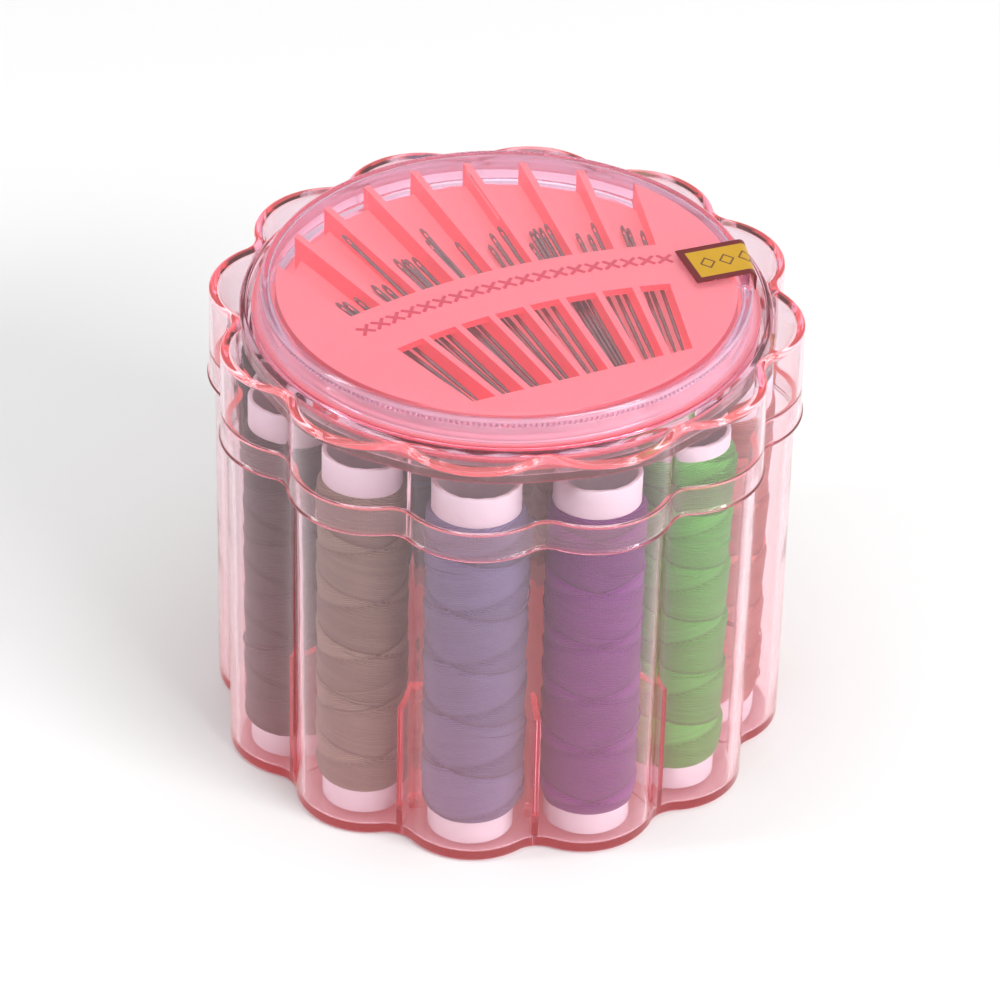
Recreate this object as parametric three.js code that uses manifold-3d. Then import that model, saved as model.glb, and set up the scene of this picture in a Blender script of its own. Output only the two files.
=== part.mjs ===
// Scalloped sewing box: a clear twelve-lobed cup with a slip-over lid, a round needle compact that sits in a
// well in the lid, and twelve spools of thread, one standing in each lobe.
// Millimetres, +Z up, origin at the centre of the underside. One spool stands straight ahead, on -Y.
import * as THREE from 'three';
import { mergeVertices } from 'three/addons/utils/BufferGeometryUtils.js';
import Module from 'manifold-3d';

const wasm = await Module();
wasm.setup();

const GAP = 0.3; // air between pieces that would otherwise touch

// Outline of the box at the lid's top edge: round lobes joined by hollow fillets. Other outlines are parallel
// to it, and are given by their distance outside it.
const LOBES = 12;
const BOX_RADIUS = 50;
const LOBE_RADIUS = 13.7;
const FILLET_RADIUS = 4.1;
const LOBE_STEPS = 7;
const FILLET_STEPS = 3;

// Cup
const CUP_HEIGHT = 67.7;
const CUP_FOOT_OUTLINE = -1.2;
const CUP_RIM_OUTLINE = -0.9;
const CUP_WALL = 1.2;
const CUP_FLOOR = 1.4;
const CUP_CORNER = 0.8;
const DIVIDER_TOP = 26.6;
const DIVIDER_THICKNESS = 1.2;
const DIVIDER_INNER_RADIUS = 36.6;
const PIP_RADIUS = 1.55;
const PIP_TOP = 3.1;

// Lid
const LID_TOP = 80.6;
const LID_SKIRT_BOTTOM = 62.9;
const LID_SKIRT_OUTLINE = 0.4;
const LID_SKIRT_WALL = 1;
const LID_WALL = 1.35;
const LID_PLATE = 1.2;
const LID_EDGE = 0.6;
const WELL_RADIUS = 43.3;
const WELL_FLOOR_TOP = 76.2;
const WELL_FLOOR_BOTTOM = 75;
const WELL_WALL = 1;
const WELL_EDGE = 0.5;

// Needle compact: a disc with a fan of channels under a bridge, and a turning cover
const DISC_RADIUS = 38.5;
const DISC_BOTTOM = WELL_FLOOR_TOP + GAP;
const DISC_TOP = 83.9;
const DISC_FLANGE_RADIUS = 42.2;
const DISC_FLANGE_TOP = 77.6;
const DISC_BEAD_RADIUS = 39.3;
const DISC_BEAD_BOTTOM = 79.4;
const DISC_BEAD_TOP = 80.4;
const CHANNELS = 8;
const CHANNEL_ANGLE = 3.75;
const CHANNEL_FLOOR = 80.3;
const CHANNEL_END_RADIUS = 36.4;
const FLOOR_END_RADIUS = 36.2; // past the bridge the floors end here, and the ribs a little further out
const RIB_END_RADIUS = 37.8;
const RIB_THICKNESS = 1.2;
const FAN_CENTRE = 105.7; // the ribs all point at this place, outside the disc
const BRIDGE_NEAR = 98; // distances from there
const BRIDGE_FAR = 110;
const BRIDGE_THICKNESS = 1.2;
const WINDOW_EDGE = -29.7; // straight near edge of the lower window
const COMPACT_TURN = 31.65;

const COVER_TOP = 85.3;
const COVER_RADIUS = 41;
const COVER_INNER_RADIUS = 39.8;
const COVER_FLANGE_RADIUS = 42.5;
const COVER_FLANGE_TOP = 80.3;
const COVER_BOTTOM = DISC_FLANGE_TOP + 0.4;
const COVER_LIP_RADIUS = 38.8;
const NOTCH_WIDTH = 6;
const NOTCH_BOTTOM = 80.9;
const NOTCH_RADIUS = 38;
const NOTCH_TURN = 10;

// Label stuck on the cover and folded down over its edge
const LABEL_WIDTH = 10.2;
const LABEL_LENGTH = 14;
const LABEL_THICKNESS = 0.16;
const LABEL_START = [29.2, 7.5];
const LABEL_TURN = 27.2;
const LABEL_FOLD_TURN = 16.5;
const LABEL_FOLD_RADIUS = 1.2;
const LABEL_STEPS = 14;

// Needles: points at the near end of each channel, eyes past the bridge. For each needle in a channel: how far
// its eye reaches from the fan's centre, how far the eye lies to the right of the channel's middle, and how far
// the eye is raised where a needle leans up.
const NEEDLE_RADIUS = 0.4;
const NEEDLE_POINT_GAP = 2.4;
const NEEDLE_SIDES = 6;
const FIRST_POINT_SIDE = -1.4;
const LAST_POINT_SIDE = 1.2;
const NEEDLE_EYES = [
  [[119.6, -1.2], [118.4, 0.2], [117.8, 1.4], [116.6, 2.5, 0.8]],
  [[117.4, -1.0], [118.9, 0.2], [118.4, 1.5], [132.6, 3.0, 1.3]],
  [[123.8, -0.9], [123.0, 0.15], [122.8, 1.2], [122.6, 2.25]],
  [[126.4, -1.5], [130.2, -0.3], [113.0, 1.0], [123.0, 2.5, 1.1]],
  [[121.5, 0.0], [124.0, 1.25], [123.9, 2.65, 1.1]],
  [[119.0, -1.6], [122.6, -0.4], [123.0, 0.65], [123.0, 1.7], [122.4, 2.7, 1.1]],
  [[119.9, -0.4], [119.5, 1.1], [121.0, 2.5, 1.0]],
  [[121.0, -0.6], [120.3, 0.5], [117.6, 2.5, 0.6]],
];

// Spools
const TUBE_RADIUS = 7.15;
const TUBE_WALL = 0.85;
const TUBE_BOTTOM = CUP_FLOOR + GAP;
const TUBE_TOP = 72.5;
const THREAD_RADIUS = 8.5;
const THREAD_BOTTOM = 6.2;
const THREAD_TOP = 66.9;
const SPOOL_SIDES = 20;
const ROUND_SIDES = 60;

// Each spool stands loose in its lobe: distance of its axis from the box's, thread colour, and where its thread
// ends if not at THREAD_TOP, from the front lobe counter-clockwise seen from above.
const SPOOLS = [
  { name: 'lavender', seat: 38.4, colour: 0x96789b },
  { name: 'purple', seat: 38.2, colour: 0x8c5587 },
  { name: 'green', seat: 37.2, colour: 0x87a55f, top: 69.7 },
  { name: 'coral', seat: 37.2, colour: 0xe6908c },
  { name: 'orange', seat: 37.2, colour: 0xe0913f },
  { name: 'yellow', seat: 37.2, colour: 0xe3c04a },
  { name: 'white', seat: 37.2, colour: 0xe9e4e0 },
  { name: 'blue', seat: 37.2, colour: 0x4c6da0 },
  { name: 'red', seat: 37.2, colour: 0xb03a3f },
  { name: 'black', seat: 37.2, colour: 0x2c2429 },
  { name: 'plum', seat: 38.2, colour: 0x5f4a52 },
  { name: 'taupe', seat: 37.6, colour: 0xa0826c },
];

const radians = THREE.MathUtils.degToRad;

function material(color, roughness, metalness = 0, opacity = 1) {
  return new THREE.MeshStandardMaterial({ color, roughness, metalness, opacity, transparent: opacity < 1 });
}

function part(name, geometry, look) {
  const mesh = new THREE.Mesh(geometry, look);
  mesh.name = name;
  return mesh;
}

// Joining and cutting

function solid(geometry) {
  const bare = geometry.clone();
  bare.deleteAttribute('normal');
  bare.deleteAttribute('uv');
  const welded = mergeVertices(bare, 1e-4);
  const corners = welded.index.array;
  const triangles = [];
  for (let i = 0; i < corners.length; i += 3) {
    const [a, b, c] = corners.slice(i, i + 3);
    if (a !== b && b !== c && c !== a) triangles.push(a, b, c);
  }
  return new wasm.Manifold(new wasm.Mesh({
    numProp: 3,
    vertProperties: new Float32Array(welded.attributes.position.array),
    triVerts: new Uint32Array(triangles),
  }));
}

function geometryOf(shape) {
  const mesh = shape.getMesh();
  const geometry = new THREE.BufferGeometry();
  geometry.setAttribute('position', new THREE.BufferAttribute(mesh.vertProperties, 3));
  geometry.setIndex(new THREE.BufferAttribute(mesh.triVerts, 1));
  geometry.computeVertexNormals();
  return geometry;
}

// Basic shapes

function turned(profile, sides) {
  const points = profile.map(([radius, z]) => new THREE.Vector2(radius, z));
  return new THREE.LatheGeometry(points, sides).rotateX(Math.PI / 2);
}

function prism(points, bottom, top) {
  const shape = new THREE.Shape(points.map(([x, y]) => new THREE.Vector2(x, y)));
  const slab = new THREE.ExtrudeGeometry(shape, { depth: top - bottom, bevelEnabled: false });
  return slab.translate(0, 0, bottom);
}

function post(radius, bottom, top, sides) {
  return new THREE.CylinderGeometry(radius, radius, top - bottom, sides)
    .rotateX(Math.PI / 2)
    .translate(0, 0, (top + bottom) / 2);
}

function block(x0, x1, y0, y1, z0, z1) {
  return new THREE.BoxGeometry(x1 - x0, y1 - y0, z1 - z0)
    .translate((x0 + x1) / 2, (y0 + y1) / 2, (z0 + z1) / 2);
}

// Points of the scalloped outline, counter-clockwise, moved outwards by a distance.
function scallop(outside) {
  const pitch = 2 * Math.PI / LOBES;
  const lobeCentre = BOX_RADIUS - LOBE_RADIUS;
  const side = lobeCentre * Math.sin(pitch / 2);
  const reach = Math.sqrt((LOBE_RADIUS + FILLET_RADIUS) ** 2 - side ** 2);
  const filletCentre = lobeCentre * Math.cos(pitch / 2) + reach;
  const filletHalf = Math.atan2(side, reach);
  const lobeHalf = filletHalf + pitch / 2;
  const points = [];
  const arc = (centre, at, radius, from, to, steps) => {
    for (let i = 0; i < steps; i += 1) {
      const angle = from + (to - from) * i / steps;
      points.push(new THREE.Vector2(
        centre * Math.cos(at) + radius * Math.cos(angle),
        centre * Math.sin(at) + radius * Math.sin(angle),
      ));
    }
  };
  for (let k = 0; k < LOBES; k += 1) {
    const lobe = k * pitch;
    const fillet = lobe + pitch / 2;
    const inward = fillet + Math.PI;
    arc(lobeCentre, lobe, LOBE_RADIUS + outside, lobe - lobeHalf, lobe + lobeHalf, LOBE_STEPS);
    const hollow = FILLET_RADIUS - outside;
    arc(filletCentre, fillet, hollow, inward + filletHalf, inward - filletHalf, FILLET_STEPS);
  }
  return points;
}

// Points of a circle, at the same bearings as the scalloped outline's.
function round(radius) {
  return scallop(0).map((point) => point.clone().setLength(radius));
}

// A closed solid through a row of rings, each [points, z], from the underside out and back over the top.
function lofted(rings) {
  const count = rings[0][0].length;
  const positions = [0, 0, rings[0][1]];
  for (const [points, z] of rings) {
    for (const point of points) positions.push(point.x, point.y, z);
  }
  positions.push(0, 0, rings.at(-1)[1]);
  const last = 1 + rings.length * count;
  const index = [];
  for (let i = 0; i < count; i += 1) {
    const j = (i + 1) % count;
    index.push(0, 1 + j, 1 + i);
    for (let k = 0; k + 1 < rings.length; k += 1) {
      const near = 1 + k * count;
      const far = near + count;
      index.push(near + i, near + j, far + j, near + i, far + j, far + i);
    }
    index.push(last - count + i, last - count + j, last);
  }
  const geometry = new THREE.BufferGeometry();
  geometry.setAttribute('position', new THREE.Float32BufferAttribute(positions, 3));
  geometry.setIndex(index);
  geometry.computeVertexNormals();
  return geometry;
}

// Cup: scalloped shell with a low divider, and a pip at its foot, between neighbouring lobes

function divider(angle) {
  const half = DIVIDER_THICKNESS / 2;
  const inWall = BOX_RADIUS - 5.7;
  const foot = CUP_FLOOR - 0.4;
  const blade = solid(block(DIVIDER_INNER_RADIUS, inWall, -half, half, foot, DIVIDER_TOP));
  const nose = solid(post(half, foot, DIVIDER_TOP, 10).translate(DIVIDER_INNER_RADIUS, 0, 0));
  const pip = solid(post(PIP_RADIUS, foot, PIP_TOP, 12).translate(DIVIDER_INNER_RADIUS, 0, 0));
  return blade.add(nose).add(pip).rotate([0, 0, angle]);
}

function cup() {
  const foot = CUP_FOOT_OUTLINE;
  const rim = CUP_RIM_OUTLINE;
  let shape = solid(lofted([
    [scallop(foot - CUP_CORNER), 0],
    [scallop(foot - 0.2), 0.25],
    [scallop(foot), CUP_CORNER],
    [scallop(rim), CUP_HEIGHT],
    [scallop(rim - CUP_WALL), CUP_HEIGHT],
    [scallop(foot - CUP_WALL), CUP_FLOOR + CUP_CORNER],
    [scallop(foot - CUP_WALL - CUP_CORNER), CUP_FLOOR],
  ]));
  for (let k = 0; k < LOBES; k += 1) {
    shape = shape.add(divider((k + 0.5) * 360 / LOBES));
  }
  return geometryOf(shape);
}

// Lid: the skirt slips over the cup's rim up to a ledge, and the top carries the compact's well

function lid() {
  const ledge = CUP_HEIGHT + GAP;
  const skirtInside = LID_SKIRT_OUTLINE - LID_SKIRT_WALL;
  const underside = LID_TOP - LID_PLATE;
  return lofted([
    [round(WELL_RADIUS + WELL_WALL - 0.1), WELL_FLOOR_BOTTOM],
    [round(WELL_RADIUS + WELL_WALL), underside],
    [scallop(-LID_WALL), underside],
    [scallop(-LID_WALL), ledge],
    [scallop(skirtInside), ledge],
    [scallop(skirtInside), LID_SKIRT_BOTTOM],
    [scallop(LID_SKIRT_OUTLINE), LID_SKIRT_BOTTOM],
    [scallop(0), LID_TOP - LID_EDGE],
    [scallop(-0.2), LID_TOP - 0.15],
    [scallop(-LID_EDGE), LID_TOP],
    [round(WELL_RADIUS + WELL_EDGE), LID_TOP],
    [round(WELL_RADIUS), LID_TOP - WELL_EDGE],
    [round(WELL_RADIUS - 0.2), WELL_FLOOR_TOP],
  ]);
}

// Compact, in its own frame: the fan opens towards +Y

// A place at a distance and a bearing (degrees clockwise from +Y) from the fan's centre, moved sideways.
function fanPoint(distance, bearing, sideways = 0) {
  const angle = radians(bearing);
  return [
    distance * Math.sin(angle) + sideways * Math.cos(angle),
    distance * Math.cos(angle) - sideways * Math.sin(angle) - FAN_CENTRE,
  ];
}

const channelBearing = (k) => (k - CHANNELS / 2) * CHANNEL_ANGLE;

function channel(k, bottom, top, near = 60, far = 160) {
  const half = RIB_THICKNESS / 2;
  const left = channelBearing(k);
  const right = channelBearing(k + 1);
  return solid(prism([
    fanPoint(near, left, half),
    fanPoint(near, right, -half),
    fanPoint(far, right, -half),
    fanPoint(far, left, half),
  ], bottom, top));
}

// Everything above the flange, on the fan's far side, outside a radius.
function farHalfPast(radius, top) {
  const all = DISC_FLANGE_RADIUS + 5;
  return solid(block(-all, all, 0, all, DISC_FLANGE_TOP, top))
    .subtract(solid(post(radius, DISC_FLANGE_TOP - 1, top + 1, ROUND_SIDES)));
}

function disc() {
  const top = DISC_TOP + 1;
  const all = DISC_FLANGE_RADIUS + 5;
  let shape = solid(turned([
    [0, DISC_BOTTOM],
    [DISC_FLANGE_RADIUS - 0.4, DISC_BOTTOM],
    [DISC_FLANGE_RADIUS, DISC_BOTTOM + 0.4],
    [DISC_FLANGE_RADIUS, DISC_FLANGE_TOP],
    [DISC_RADIUS - 0.1, DISC_FLANGE_TOP],
    [DISC_RADIUS - 0.1, DISC_BEAD_BOTTOM],
    [DISC_BEAD_RADIUS, DISC_BEAD_BOTTOM + 0.3],
    [DISC_BEAD_RADIUS, DISC_BEAD_TOP - 0.3],
    [DISC_RADIUS, DISC_BEAD_TOP],
    [DISC_RADIUS, DISC_TOP - 0.3],
    [DISC_RADIUS - 0.3, DISC_TOP],
    [0, DISC_TOP],
  ], ROUND_SIDES));
  const tunnels = solid(post(CHANNEL_END_RADIUS, CHANNEL_FLOOR - 1, top, ROUND_SIDES))
    .add(solid(block(-all, all, 0, all, CHANNEL_FLOOR - 1, top)));
  const beyondBridge = solid(block(-all, all, WINDOW_EDGE, all, CHANNEL_FLOOR - 1, top))
    .subtract(bridge(top));
  const openEnds = farHalfPast(FLOOR_END_RADIUS, top);
  for (let k = 0; k < CHANNELS; k += 1) {
    shape = shape.subtract(channel(k, CHANNEL_FLOOR, DISC_TOP - BRIDGE_THICKNESS).intersect(tunnels));
    shape = shape.subtract(channel(k, CHANNEL_FLOOR, top).intersect(beyondBridge));
    shape = shape.subtract(channel(k, DISC_FLANGE_TOP, top).intersect(openEnds));
  }
  const fan = solid(prism([
    fanPoint(60, channelBearing(0), RIB_THICKNESS / 2),
    fanPoint(60, channelBearing(CHANNELS), -RIB_THICKNESS / 2),
    fanPoint(160, channelBearing(CHANNELS), -RIB_THICKNESS / 2),
    fanPoint(160, channelBearing(0), RIB_THICKNESS / 2),
  ], DISC_FLANGE_TOP, top));
  return geometryOf(shape.subtract(fan.intersect(farHalfPast(RIB_END_RADIUS, top))));
}

// The band across the fan, between two arcs about the fan's centre.
function bridge(top) {
  const steps = 2 * CHANNELS;
  const width = CHANNELS + 2;
  const points = [];
  for (let i = 0; i <= steps; i += 1) {
    points.push(fanPoint(BRIDGE_NEAR, (i / steps - 0.5) * width * CHANNEL_ANGLE));
  }
  for (let i = steps; i >= 0; i -= 1) {
    points.push(fanPoint(BRIDGE_FAR, (i / steps - 0.5) * width * CHANNEL_ANGLE));
  }
  return solid(prism(points, CHANNEL_FLOOR - 1, top));
}

function cover() {
  const bowl = solid(turned([
    [COVER_LIP_RADIUS, COVER_BOTTOM],
    [COVER_FLANGE_RADIUS, COVER_BOTTOM],
    [COVER_FLANGE_RADIUS, COVER_FLANGE_TOP - 0.4],
    [COVER_FLANGE_RADIUS - 0.4, COVER_FLANGE_TOP],
    [COVER_RADIUS, COVER_FLANGE_TOP + 0.3],
    [COVER_RADIUS, COVER_TOP - 0.7],
    [COVER_RADIUS - 0.7, COVER_TOP],
    [0, COVER_TOP],
    [0, DISC_TOP + 0.35],
    [COVER_INNER_RADIUS, DISC_TOP + 0.35],
    [COVER_INNER_RADIUS, DISC_BEAD_BOTTOM],
    [COVER_LIP_RADIUS, COVER_BOTTOM + 0.9],
    [COVER_LIP_RADIUS, COVER_BOTTOM],
  ], ROUND_SIDES));
  const half = NOTCH_WIDTH / 2;
  const notch = solid(block(NOTCH_RADIUS, BOX_RADIUS, -half, half, NOTCH_BOTTOM, LID_TOP + 10));
  return geometryOf(bowl.subtract(notch.rotate([0, 0, NOTCH_TURN])));
}

// The label is a flat strip, folded over the cover's edge along a straight line.
function label() {
  const fold = new THREE.Vector2(1, 0).rotateAround(new THREE.Vector2(), radians(LABEL_FOLD_TURN));
  const across = new THREE.Vector2(-fold.y, fold.x);
  const along = new THREE.Vector2(1, 0).rotateAround(new THREE.Vector2(), radians(LABEL_TURN));
  const sideways = new THREE.Vector2(-along.y, along.x);
  const start = new THREE.Vector2(...LABEL_START);
  const foldStart = COVER_RADIUS + 0.5 - LABEL_FOLD_RADIUS;
  const lie = COVER_TOP + 0.12;
  const quarter = LABEL_FOLD_RADIUS * Math.PI / 2;
  const place = (u, v, lift) => {
    const flat = start.clone().addScaledVector(along, u).addScaledVector(sideways, v);
    const past = flat.dot(fold) - foldStart;
    const turn = THREE.MathUtils.clamp(past / quarter, 0, 1) * Math.PI / 2;
    const down = Math.max(0, past - quarter);
    const radius = LABEL_FOLD_RADIUS + lift;
    const out = foldStart + Math.min(past, 0) + radius * Math.sin(turn);
    const point = fold.clone().multiplyScalar(out).addScaledVector(across, flat.dot(across));
    return [point.x, point.y, lie - LABEL_FOLD_RADIUS + radius * Math.cos(turn) - down];
  };
  const half = LABEL_WIDTH / 2;
  const positions = [];
  for (let i = 0; i <= LABEL_STEPS; i += 1) {
    const u = LABEL_LENGTH * i / LABEL_STEPS;
    positions.push(...place(u, -half, 0), ...place(u, half, 0));
    positions.push(...place(u, half, LABEL_THICKNESS), ...place(u, -half, LABEL_THICKNESS));
  }
  const index = [0, 2, 1, 0, 3, 2];
  for (let i = 0; i < LABEL_STEPS; i += 1) {
    for (let k = 0; k < 4; k += 1) {
      const a = 4 * i + k;
      const b = 4 * i + (k + 1) % 4;
      index.push(a, b + 4, a + 4, a, b, b + 4);
    }
  }
  const end = 4 * LABEL_STEPS;
  index.push(end, end + 1, end + 2, end, end + 2, end + 3);
  const geometry = new THREE.BufferGeometry();
  geometry.setAttribute('position', new THREE.Float32BufferAttribute(positions, 3));
  geometry.setIndex(index);
  geometry.computeVertexNormals();
  return geometry;
}

// A needle along +Y from its point, with a flattened head and a slot for an eye.
function needle(length) {
  const head = 5;
  const shaft = turned([
    [0, 0],
    [NEEDLE_RADIUS * 0.6, 2.5],
    [NEEDLE_RADIUS, 9],
    [NEEDLE_RADIUS, length - head],
    [NEEDLE_RADIUS * 1.4, length - 1.5],
    [NEEDLE_RADIUS * 0.7, length],
    [0, length],
  ], NEEDLE_SIDES).rotateX(-Math.PI / 2);
  const eye = block(-0.16, 0.16, length - 4, length - 1.3, -1, 1);
  return geometryOf(solid(shaft).subtract(solid(eye)));
}

// Distance from the fan's centre to the closed end of a channel.
function channelEnd(bearing) {
  const angle = radians(bearing);
  const beside = FAN_CENTRE * Math.sin(angle);
  return FAN_CENTRE * Math.cos(angle) - Math.sqrt(CHANNEL_END_RADIUS ** 2 - beside ** 2);
}

function needles() {
  const group = new THREE.Group();
  let count = 0;
  NEEDLE_EYES.forEach((eyes, k) => {
    const bearing = (channelBearing(k) + channelBearing(k + 1)) / 2;
    const end = channelEnd(bearing) + NEEDLE_POINT_GAP;
    eyes.forEach(([reach, side, lift = 0], i) => {
      const along = i / (eyes.length - 1);
      const pointSide = THREE.MathUtils.lerp(FIRST_POINT_SIDE, LAST_POINT_SIDE, along);
      const point = new THREE.Vector2(...fanPoint(end, bearing, pointSide));
      const run = new THREE.Vector2(...fanPoint(reach, bearing, side)).sub(point);
      count += 1;
      const name = `needle_${String(count).padStart(2, '0')}`;
      const mesh = part(name, needle(run.length()), material(0x9a928c, 0.25, 1));
      mesh.position.set(point.x, point.y, CHANNEL_FLOOR + GAP + NEEDLE_RADIUS * 1.4);
      const lean = Math.asin(lift / run.length());
      mesh.rotation.set(lean, 0, Math.atan2(run.y, run.x) - Math.PI / 2, 'ZYX');
      group.add(mesh);
    });
  });
  return group;
}

// Spool: a paper tube inside a ring of wound thread

function ring(inner, outer, bottom, top) {
  const profile = [[inner, bottom], [outer, bottom], [outer, top], [inner, top], [inner, bottom]];
  return turned(profile, SPOOL_SIDES);
}

function spool({ name, seat, colour, top = THREAD_TOP }, k) {
  const group = new THREE.Group();
  const angle = radians(-90 + k * 360 / LOBES);
  group.position.set(seat * Math.cos(angle), seat * Math.sin(angle), 0);
  const tube = ring(TUBE_RADIUS - TUBE_WALL, TUBE_RADIUS, TUBE_BOTTOM, TUBE_TOP);
  const thread = ring(TUBE_RADIUS + GAP, THREAD_RADIUS, THREAD_BOTTOM, top);
  group.add(part(`tube_${name}`, tube, material(0xf0e2ee, 0.8)));
  group.add(part(`thread_${name}`, thread, material(colour, 0.75)));
  return group;
}

// Assembly

const sewingBox = new THREE.Group();
sewingBox.add(part('cup', cup(), material(0xf3a7b8, 0.08, 0, 0.4)));
sewingBox.add(...SPOOLS.map(spool));
sewingBox.add(part('lid', lid(), material(0xf3a7b8, 0.08, 0, 0.4)));

const compact = new THREE.Group();
compact.rotation.z = radians(COMPACT_TURN);
compact.add(part('needle_disc', disc(), material(0xff9699, 0.45)));
compact.add(needles());
sewingBox.add(compact);
sewingBox.add(part('compact_cover', cover(), material(0xe6c6de, 0.08, 0, 0.35)));
sewingBox.add(part('seal_label', label(), material(0xd9a21b, 0.5)));

export default sewingBox;
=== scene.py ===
"""Looks of the scalloped sewing box: a clear cup and lid, a needle compact and twelve spools of thread.

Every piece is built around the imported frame. Lengths are in millimetres unless a comment says otherwise, and
meshes are in metres.
"""
import math

import bpy
import numpy as np
from mathutils import Matrix, Vector


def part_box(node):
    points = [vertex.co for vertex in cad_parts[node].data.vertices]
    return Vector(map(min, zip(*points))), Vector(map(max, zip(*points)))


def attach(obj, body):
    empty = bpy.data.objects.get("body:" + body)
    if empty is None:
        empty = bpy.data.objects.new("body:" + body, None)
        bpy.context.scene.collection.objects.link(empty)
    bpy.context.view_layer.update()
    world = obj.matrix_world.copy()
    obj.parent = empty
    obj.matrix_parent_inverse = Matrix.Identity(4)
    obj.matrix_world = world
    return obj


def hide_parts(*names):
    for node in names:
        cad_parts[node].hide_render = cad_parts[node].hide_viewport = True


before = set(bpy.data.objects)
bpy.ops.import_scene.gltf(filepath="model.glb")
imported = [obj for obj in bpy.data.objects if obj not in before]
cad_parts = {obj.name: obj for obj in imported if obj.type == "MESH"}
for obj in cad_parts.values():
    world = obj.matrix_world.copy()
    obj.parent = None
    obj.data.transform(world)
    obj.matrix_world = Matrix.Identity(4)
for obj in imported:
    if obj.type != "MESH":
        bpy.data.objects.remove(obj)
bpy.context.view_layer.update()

MM = 0.001
BOXES = {name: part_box(name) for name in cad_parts}

# View
CAMERA_AZIMUTH = 6.055
CAMERA_ELEVATION = 37.051
CAMERA_DISTANCE = 1.02985
CAMERA_AIM = (-0.00026, -0.00003, 0.04017)
CAMERA_ROLL = -1.375
CAMERA_LENS = 212.4

# Studio: place (m), size (m) and power (W) of each softbox, all aimed at one place
SOFTBOXES = {
    "key": ((0.62, -0.50, 0.62), (0.6, 0.14), 5.5),
    "right_strip": ((0.75, -0.45, 0.16), (0.3, 0.4), 2.8),
    "overhead": ((0, 0, 1.4), (1.2, 1.2), 4),
    "left_strip": ((-0.75, -0.25, 0.35), (0.12, 0.6), 2),
}
SOFTBOX_AIM = (0, 0, 0.04)
WORLD_STRENGTH = 0.67
FLOOR_COLOR = (0.86, 0.86, 0.86)
FLOOR_HALF_WIDTH = 3000
FLOOR_DROP = 0.2
LIGHT_BOUNCES = 32

# Outline of the box at the lid's top edge, as lobes joined by hollow fillets (mm)
LOBES = 12
BOX_RADIUS = 50.0
LOBE_RADIUS = 13.7
FILLET_RADIUS = 4.1
LOBE_STEPS = 26
FILLET_STEPS = 12
CORNER_STEPS = 4

# Cup (mm)
CUP_FOOT_OUTLINE = -1.2
CUP_RIM_OUTLINE = -0.9
CUP_WALL = 1.2
CUP_FLOOR = 1.4
CUP_CORNER = 0.9
DIVIDER_TOP = 26.6
DIVIDER_THICKNESS = 1.2
DIVIDER_INNER_RADIUS = 36.6
DIVIDER_OUTER_RADIUS = 44.3
DIVIDER_SINK = 0.4
PIP_RADIUS = 1.55
PIP_TOP = 3.1
RIM_BAND = 0.4

# Lid (mm)
SKIRT_OUTLINE = 0.4
SKIRT_WALL = 1.0
LIP_HEIGHT = 0.55
LIP_DEPTH = 0.3
LID_WALL = 1.35
LID_PLATE = 1.2
LEDGE_GAP = 0.3
WELL_RADIUS = 43.3
WELL_FLOOR = 76.2
WELL_FLOOR_THICKNESS = 1.2
WELL_WALL = 1.0
WELL_TAPER = 0.2
RIM_FLAT = 3.0

# Compact (mm): the fan's ribs all point at a place outside the disc
DISC_RADIUS = 38.5
DISC_FLANGE_RADIUS = 42.2
DISC_FLANGE_TOP = 77.6
DISC_BEAD_RADIUS = 39.3
DISC_BEAD = (79.4, 80.4)
CHANNELS = 8
CHANNEL_ANGLE = 3.75
CHANNEL_FLOOR = 80.3
CHANNEL_END_RADIUS = 36.4
FLOOR_END_RADIUS = 36.2
RIB_END_RADIUS = 37.8
RIB_THICKNESS = 1.2
FAN_CENTRE = 105.7
BRIDGE_NEAR = 98.0
BRIDGE_FAR = 110.0
BRIDGE_THICKNESS = 1.2
WINDOW_EDGE = -29.7
TOOL_NEAR = 60.0
TOOL_FAR = 150.0
TOOL_HALF = 60.0
TOOL_BOTTOM = 79.0
DISC_SIDES = 288
COMPACT_TURN = 31.65

COVER_RADIUS = 41.0
COVER_INNER_RADIUS = 39.8
COVER_FLANGE_RADIUS = 42.5
COVER_FLANGE_TOP = 80.3
COVER_LIP_RADIUS = 38.8
COVER_CEILING = 84.25
KNURL_TEETH = 280
KNURL_DEPTH = 0.32
KNURL = (83.4, 84.0)
NOTCH_WIDTH = 6.0
NOTCH_BOTTOM = 80.9
NOTCH_RADIUS = 38.0
NOTCH_TURN = 10.0

# Painted glow (emission) that stands in for light the plastics scatter: on every clear face, along clear
# edges, on the disc's level faces, and on the sides of its ribs. The painted reflection is how much less clear
# the side of the compact's cover is made: a lighter lilac band that stands in for reflections in that wall.
# The foot, the fins and the cover's flange have a part of the edge's painted glow.
GLOW = 0.012
EDGE_GLOW = 0.5
FOOT_GLOW = 0.15
FIN_GLOW = 0.2
FLANGE_GLOW = 0.3
LEVEL_GLOW = 0.38
WALL_GLOW = 0.34
LEVEL_SLOPE = 0.7
PAINTED_REFLECTION = 0.3

# Spools (mm)
TUBE_WALL = 0.85
WIND_PITCH = 10.8
STRANDS_PER_PITCH = 28
WIND_STEP = 0.32
THREAD_AROUND = 240
THREAD_ROWS = 250
THREAD_GAP = 0.05
STRAY_STRANDS = 5
STRAY_RADIUS = 0.14
STRAY_STEPS = 40
STRAY_SINK = 0.35
FUZZ = 0.03
END_ROUNDING = 0.9
END_ROUNDING_HEIGHT = 0.7
TUBE_RINGS = 12
TUBE_RINGED = 10.0
RIM_RAGGED = 0.10
DENT_DEPTH = 7.0
DENT_DROP = 1.3

# Thread, in parts of a layer's width: the fall to the next layer, and the shadow beside a layer's edge
SHINGLE_DROP = 0.07
SHADOW_WIDTH = 0.035

# Thread, in parts of its colour: the darkest and the lightest shade
THREAD_DARK = 0.32
THREAD_LIGHT = 1.4

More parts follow.
